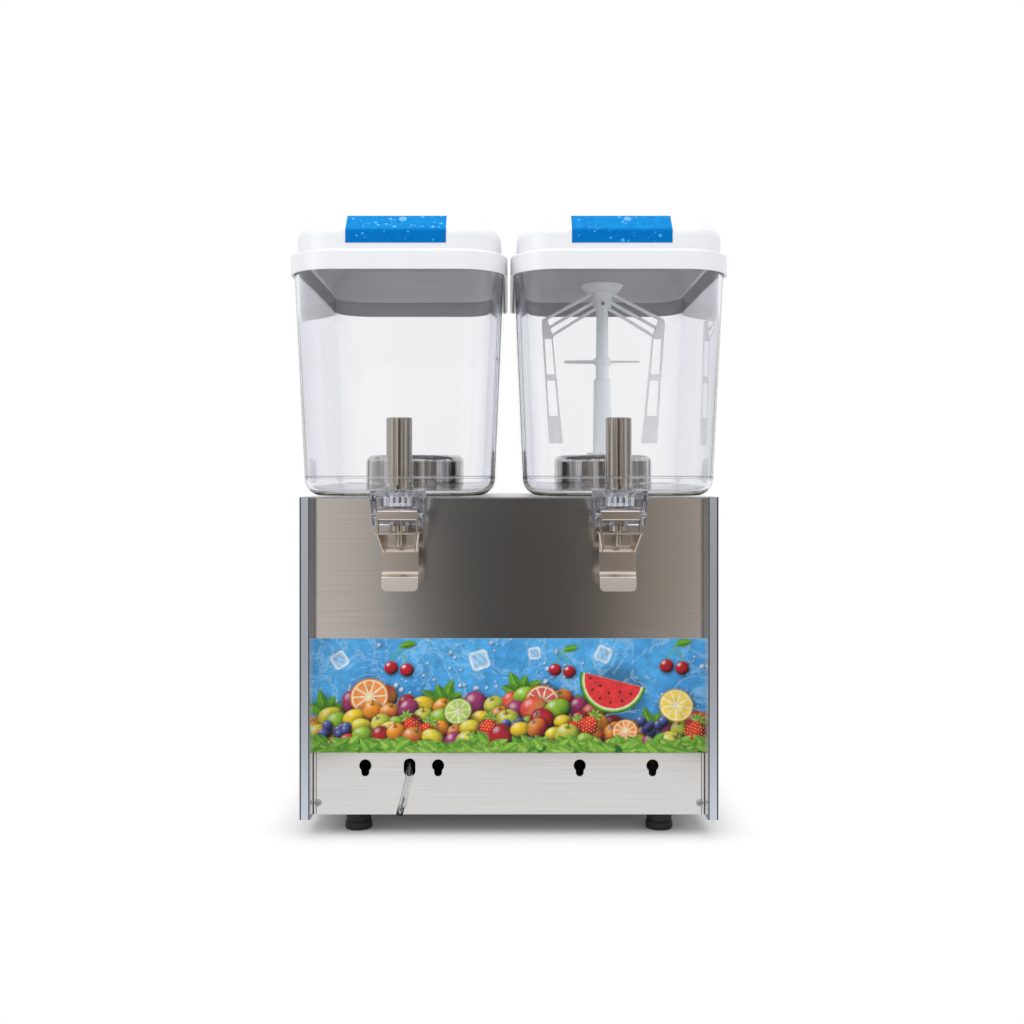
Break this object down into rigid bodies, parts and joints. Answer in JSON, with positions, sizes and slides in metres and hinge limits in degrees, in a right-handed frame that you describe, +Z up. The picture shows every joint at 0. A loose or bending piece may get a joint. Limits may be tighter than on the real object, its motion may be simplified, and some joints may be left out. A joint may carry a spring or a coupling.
{
  "type": "juice dispenser",
  "caption": "Countertop chilled drink dispenser: steel cabinet with side-by-side clear lift-off tanks, white lids, push-lever taps, cold domes and a paddle stirrer.",
  "frame": {"origin": "Middle of the footprint at counter level, under the feet.", "axes": "+Z up; the taps face -Y; +X is to the right seen from the front."},
  "size_m": [0.4259, 0.4, 0.617],
  "materials": {
    "brushed_steel": "brushed",
    "polished_steel": "polished",
    "lever_steel": "satin",
    "post_aluminium": "satin",
    "zinc_steel": "galvanised",
    "condenser_aluminium": "plain",
    "black_rubber": "matt",
    "black_enamel": "satin",
    "black_plastic": "matt",
    "grey_plastic": "matt",
    "natural_plastic": "satin",
    "clear_plastic": "clear",
    "clear_hose": "clear",
    "white_plastic": "gloss",
    "silicone": "satin",
    "copper": "plain",
    "bronze": "plain",
    "printed_panel": "gloss print",
    "blue_film": "gloss print",
    "red_plastic": "gloss"
  },
  "bodies": {
    "cabinet": {"base_pan": "zinc_steel", "feet": "black_rubber", "left_corner_post": "post_aluminium", "right_corner_post": "post_aluminium", "left_side_panel": "brushed_steel", "right_side_panel": "brushed_steel", "front_panel": "brushed_steel", "picture_panel": "printed_panel", "lower_front_panel": "brushed_steel", "rear_panel": "brushed_steel", "deck_plate": "brushed_steel", "panel_screws": "brushed_steel", "left_cold_dome": "polished_steel", "right_cold_dome": "polished_steel", "left_tank_seal": "silicone", "right_tank_seal": "silicone", "left_evaporator": "copper", "right_evaporator": "copper", "stand_tube": "natural_plastic", "stand_tube_bush": "bronze", "stirrer_motor": "zinc_steel", "stirrer_bracket": "zinc_steel", "compressor": "black_enamel", "compressor_mounts": "black_rubber", "condenser": "condenser_aluminium", "fan_shroud": "black_plastic", "fan_motor": "zinc_steel", "discharge_pipe": "copper", "suction_pipe": "copper", "filter_drier": "copper", "thermostat": "natural_plastic", "switch_housings": "black_plastic", "cable_gland": "black_plastic", "drain_spigot": "natural_plastic", "drain_hose": "clear_hose"},
    "left_tank_unit": {"left_tank": "clear_plastic", "left_hinge_pin": "polished_steel"},
    "right_tank_unit": {"right_tank": "clear_plastic", "right_hinge_pin": "polished_steel"},
    "left_lever_unit": {"left_lever": "lever_steel"},
    "right_lever_unit": {"right_lever": "lever_steel"},
    "left_valve": {"left_valve_piston": "polished_steel", "left_valve_seal": "silicone", "left_valve_stem": "polished_steel"},
    "right_valve": {"right_valve_piston": "polished_steel", "right_valve_seal": "silicone", "right_valve_stem": "polished_steel"},
    "left_lid_unit": {"left_lid": "white_plastic", "left_lid_label": "blue_film"},
    "right_lid_unit": {"right_lid": "white_plastic", "right_lid_label": "blue_film"},
    "stirrer": {"agitator": "natural_plastic"},
    "shaft": {"drive_shaft": "polished_steel"},
    "fan_rotor": {"fan": "grey_plastic"},
    "knob": {"thermostat_knob": "black_plastic"},
    "cooling_switch_rocker": {"cooling_rocker": "red_plastic"},
    "stirring_switch_rocker": {"stirring_rocker": "red_plastic"}
  },
  "joints": [
    {"name": "left_tank_lift", "type": "slide", "parent": "cabinet", "child": "left_tank_unit", "axis": [0, 0, 1], "range_m": [0, 0.06]},
    {"name": "right_tank_lift", "type": "slide", "parent": "cabinet", "child": "right_tank_unit", "axis": [0, 0, 1], "range_m": [0, 0.048]},
    {"name": "left_lid_lift", "type": "slide", "parent": "left_tank_unit", "child": "left_lid_unit", "axis": [0, 0, 1], "range_m": [0, 0.08]},
    {"name": "right_lid_lift", "type": "slide", "parent": "right_tank_unit", "child": "right_lid_unit", "axis": [0, 0, 1], "range_m": [0, 0.08]},
    {"name": "left_lever_push", "type": "hinge", "parent": "left_tank_unit", "child": "left_lever_unit", "pos_m": [-0.107, -0.175, 0.3294], "axis": [1, 0, 0], "range_deg": [0, 10]},
    {"name": "left_valve_lift", "type": "slide", "parent": "left_tank_unit", "child": "left_valve", "axis": [0, 0, 1], "range_m": [0, 0.0055]},
    {"name": "right_lever_push", "type": "hinge", "parent": "right_tank_unit", "child": "right_lever_unit", "pos_m": [0.107, -0.175, 0.3294], "axis": [1, 0, 0], "range_deg": [0, 10]},
    {"name": "right_valve_lift", "type": "slide", "parent": "right_tank_unit", "child": "right_valve", "axis": [0, 0, 1], "range_m": [0, 0.0055]},
    {"name": "stirrer_spin", "type": "hinge", "parent": "cabinet", "child": "shaft", "pos_m": [0.107, 0.048, 0.4], "axis": [0, 0, 1], "continuous": true},
    {"name": "stirrer_lift", "type": "slide", "parent": "shaft", "child": "stirrer", "axis": [0, 0, 1], "range_m": [0, 0.024]},
    {"name": "fan_spin", "type": "hinge", "parent": "cabinet", "child": "fan_rotor", "pos_m": [0.114, 0.04, 0.1242], "axis": [1, 0, 0], "continuous": true},
    {"name": "thermostat_turn", "type": "hinge", "parent": "cabinet", "child": "knob", "pos_m": [-0.15, 0.188, 0.286], "axis": [0, 1, 0], "range_deg": [0, 270]},
    {"name": "cooling_switch", "type": "hinge", "parent": "cabinet", "child": "cooling_switch_rocker", "pos_m": [0.207, -0.058, 0.291], "axis": [0, -1, 0], "range_deg": [0, 16]},
    {"name": "stirring_switch", "type": "hinge", "parent": "cabinet", "child": "stirring_switch_rocker", "pos_m": [0.207, -0.058, 0.261], "axis": [0, -1, 0], "range_deg": [0, 16]}
  ],
  "couplings": [
    {"joint": "left_valve_lift", "follows": "left_lever_push", "m_per_rad": 0.031},
    {"joint": "right_valve_lift", "follows": "right_lever_push", "m_per_rad": 0.031}
  ]
}
